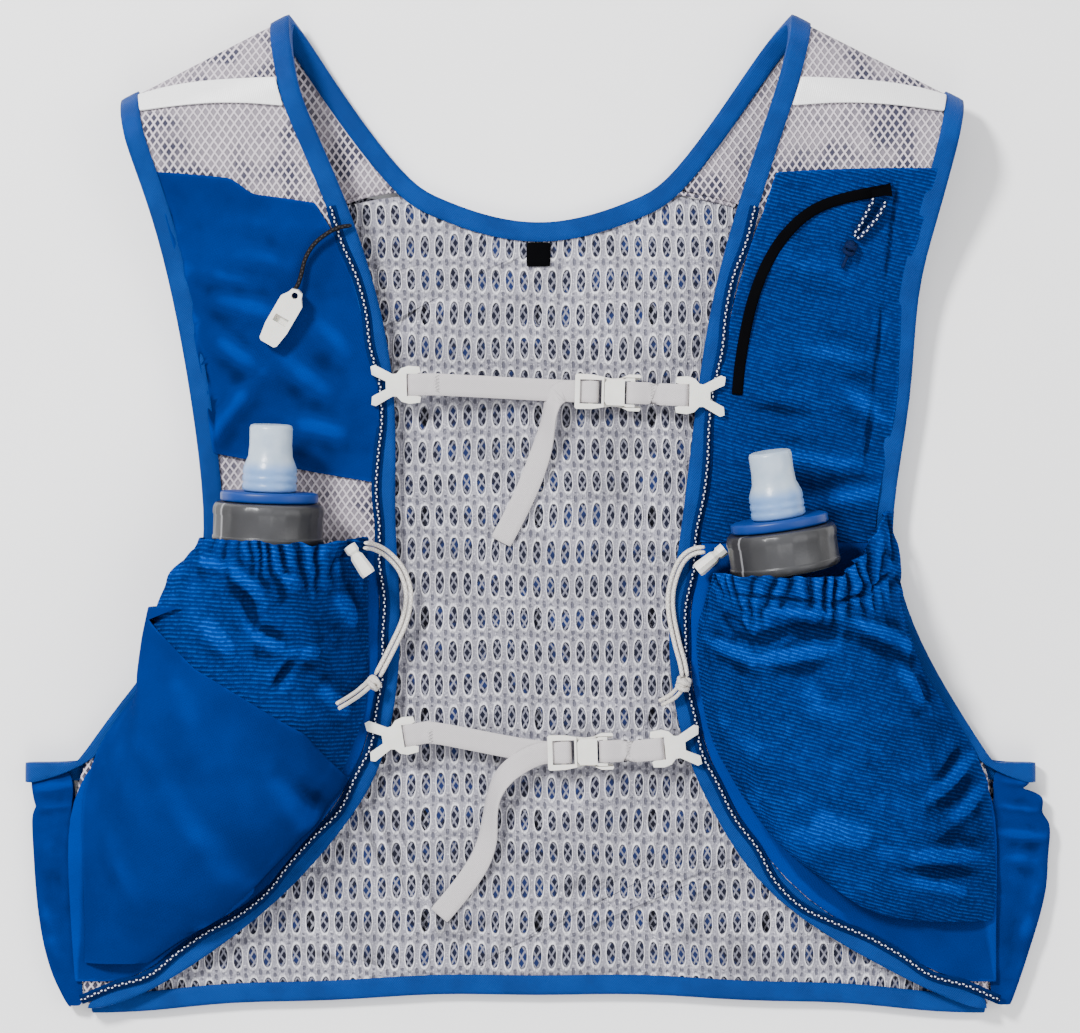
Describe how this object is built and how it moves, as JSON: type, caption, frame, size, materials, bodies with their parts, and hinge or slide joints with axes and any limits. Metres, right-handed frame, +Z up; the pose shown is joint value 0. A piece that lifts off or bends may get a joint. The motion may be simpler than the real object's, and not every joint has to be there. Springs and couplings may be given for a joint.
{
  "type": "running hydration vest with two soft flasks",
  "caption": "Close-fitting mesh running vest lying on its back, with soft flasks in its front pockets, chest pockets, sternum straps, a whistle and drawcords.",
  "frame": {"origin": "on the surface that the vest lies on, under the middle of its outline seen from above", "axes": "+Z up, out of the front of the vest; +Y towards the shoulders; +X to the right seen from above"},
  "size_m": [0.4691, 0.4557, 0.0678],
  "materials": {
    "lining_cloth": "dark blue plain lining",
    "spacer_mesh": "grey-lilac knitted spacer mesh with oval holes",
    "net_mesh": "grey diamond net mesh",
    "plain_cloth": "smooth blue woven cloth",
    "ribbed_cloth": "blue ribbed stretch cloth",
    "blue_binding": "bright blue folded edge tape",
    "reflective_tape": "pale reflective band",
    "speckled_cord": "dark blue braided cord with pale flecks",
    "pale_cord": "cream braided cord",
    "dark_cord": "black braided cord",
    "webbing": "pale grey woven webbing",
    "white_plastic": "cream-white moulded plastic",
    "smoked_plastic": "smoky brown-grey moulded plastic",
    "blue_plastic": "bright blue moulded plastic",
    "clear_rubber": "frosted silicone rubber",
    "flask_film": "milky soft plastic film",
    "black_tape": "black zip tape and label"
  },
  "bodies": {
    "root": {"back_shell": "lining_cloth", "back_mesh": "spacer_mesh", "size_label": "black_tape", "neck_binding": "blue_binding", "hem_binding": "blue_binding", "side_panel_left": "plain_cloth", "side_panel_right": "plain_cloth", "armhole_binding_left": "blue_binding", "armhole_binding_right": "blue_binding", "strap_mesh_left": "net_mesh", "strap_mesh_right": "net_mesh", "gusset_left": "plain_cloth", "gusset_right": "plain_cloth", "reflective_band_left": "reflective_tape", "reflective_band_right": "reflective_tape", "upper_pocket_left": "plain_cloth", "upper_pocket_right": "ribbed_cloth", "bottle_pocket_left": "ribbed_cloth", "bottle_pocket_right": "ribbed_cloth", "overlay_pocket_left": "plain_cloth", "flask_body_left": "flask_film", "flask_body_right": "flask_film", "flask_collar_left": "smoked_plastic", "flask_collar_right": "smoked_plastic", "flask_cap_left": "blue_plastic", "flask_cap_right": "blue_plastic", "bite_valve_left": "clear_rubber", "bite_valve_right": "clear_rubber", "edge_cord_left": "speckled_cord", "edge_cord_right": "speckled_cord", "zip_tape": "black_tape", "zip_slider": "black_tape", "zip_pull_strand_a": "speckled_cord", "zip_pull_strand_b": "speckled_cord", "zip_pull_knot": "speckled_cord", "sternum_hook_upper_left": "white_plastic", "sternum_hook_upper_right": "white_plastic", "sternum_hook_lower_left": "white_plastic", "sternum_hook_lower_right": "white_plastic", "buckle_frame_upper": "white_plastic", "buckle_frame_lower": "white_plastic", "buckle_tongue_upper": "white_plastic", "buckle_tongue_lower": "white_plastic", "sternum_webbing_upper": "webbing", "sternum_webbing_lower": "webbing", "sternum_webbing_short_upper": "webbing", "sternum_webbing_short_lower": "webbing", "drawcord_left_a": "pale_cord", "drawcord_left_b": "pale_cord", "drawcord_right_a": "pale_cord", "drawcord_right_b": "pale_cord", "drawcord_knot_left": "pale_cord", "drawcord_knot_right": "pale_cord", "cord_lock_left": "white_plastic", "cord_lock_right": "white_plastic", "whistle": "white_plastic", "whistle_cord": "dark_cord"}
  },
  "joints": []
}
